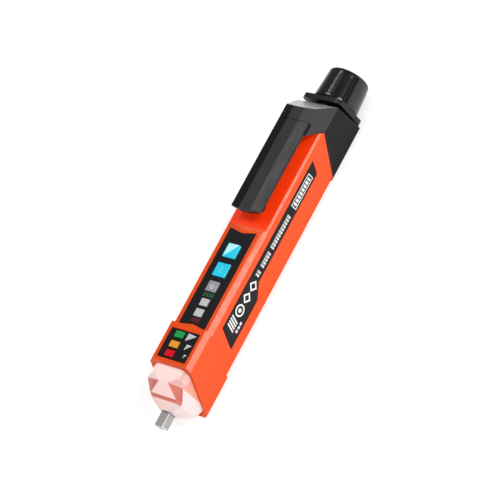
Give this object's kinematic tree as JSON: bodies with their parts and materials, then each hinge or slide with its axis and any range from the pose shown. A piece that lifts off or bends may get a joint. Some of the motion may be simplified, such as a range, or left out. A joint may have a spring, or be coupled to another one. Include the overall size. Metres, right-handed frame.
{
  "type": "non contact voltage tester",
  "caption": "Pen-shaped voltage detector with a clear lit nose, signal lights, push keys, a sprung pocket clip and a screw cap over its cells.",
  "frame": {"origin": "under the middle of the pen, on the surface it lies on with its display face up", "axes": "+X from the sensor pin to the tail cap; +Z the way the display face looks; the labelled side faces -Y"},
  "size_m": [0.157, 0.021, 0.0268],
  "materials": {
    "orange_plastic": "satin",
    "black_plastic": "satin",
    "gloss_black_plastic": "gloss",
    "black_film": "satin",
    "clear_nose": "gloss",
    "tip_plastic": "gloss",
    "cyan_key": "gloss",
    "grey_key": "satin",
    "window_resin": "satin",
    "lamp_resin": "gloss",
    "green_pipe": "gloss",
    "amber_pipe": "gloss",
    "red_pipe": "gloss",
    "board": "satin",
    "copper_strip": "satin",
    "plain_steel": "satin",
    "black_rubber": "matte",
    "cell_jacket": "satin"
  },
  "bodies": {
    "housing": {"front_shell": "orange_plastic", "rear_cover": "orange_plastic", "cover_screw_1": "plain_steel", "cover_screw_2": "plain_steel", "nose_lens": "clear_nose", "sensor_pin": "tip_plastic", "antenna_strip": "copper_strip", "torch_led": "lamp_resin", "keypad_overlay": "black_film", "signal_overlay": "black_film", "indicator_window_1": "window_resin", "indicator_window_2": "window_resin", "light_pipe_green": "green_pipe", "light_pipe_amber": "amber_pipe", "light_pipe_red": "red_pipe", "side_label": "black_film", "circuit_board": "board", "key_switch_1": "plain_steel", "key_switch_2": "plain_steel", "key_switch_3": "plain_steel", "indicator_led_1": "lamp_resin", "indicator_led_2": "lamp_resin", "signal_led_1": "lamp_resin", "signal_led_2": "lamp_resin", "signal_led_3": "lamp_resin", "buzzer": "black_plastic", "controller_chip": "black_plastic", "battery_sleeve": "black_plastic", "cell_1": "cell_jacket", "cell_2": "cell_jacket", "contact_plate": "plain_steel", "contact_spring": "plain_steel", "return_strip": "plain_steel", "tail_collar": "black_plastic", "cap_seat": "black_plastic", "cap_seal": "black_rubber"},
    "power_button": {"power_key": "cyan_key"},
    "torch_button": {"torch_key": "cyan_key"},
    "mode_button": {"mode_key": "grey_key"},
    "clip": {"pocket_clip": "black_plastic"},
    "tail_contact": {"contact_carrier": "plain_steel", "carrier_spring": "plain_steel"},
    "cap": {"tail_cap": "gloss_black_plastic"}
  },
  "joints": [
    {"name": "power_press", "type": "slide", "parent": "housing", "child": "power_button", "axis": [0, 0, -1], "range_m": [0, 0.0005], "stiffness_N_per_m": 500, "springref_m": -0.001},
    {"name": "torch_press", "type": "slide", "parent": "housing", "child": "torch_button", "axis": [0, 0, -1], "range_m": [0, 0.0005], "stiffness_N_per_m": 500, "springref_m": -0.001},
    {"name": "mode_press", "type": "slide", "parent": "housing", "child": "mode_button", "axis": [0, 0, -1], "range_m": [0, 0.0005], "stiffness_N_per_m": 500, "springref_m": -0.001},
    {"name": "clip_lift", "type": "hinge", "parent": "housing", "child": "clip", "pos_m": [0.0499, 0, 0.0249], "axis": [0, 1, 0], "range_deg": [0, 6], "stiffness_Nm_per_rad": 3, "springref_deg": -1.72},
    {"name": "cap_travel", "type": "slide", "parent": "housing", "child": "tail_contact", "axis": [1, 0, 0], "range_m": [0, 0.00375]},
    {"name": "cap_turn", "type": "hinge", "parent": "tail_contact", "child": "cap", "pos_m": [0.0649, 0, 0.00935], "axis": [1, 0, 0], "range_deg": [0, 901]}
  ],
  "couplings": [
    {"joint": "cap_turn", "follows": "cap_travel", "rad_per_m": 4188.8}
  ]
}
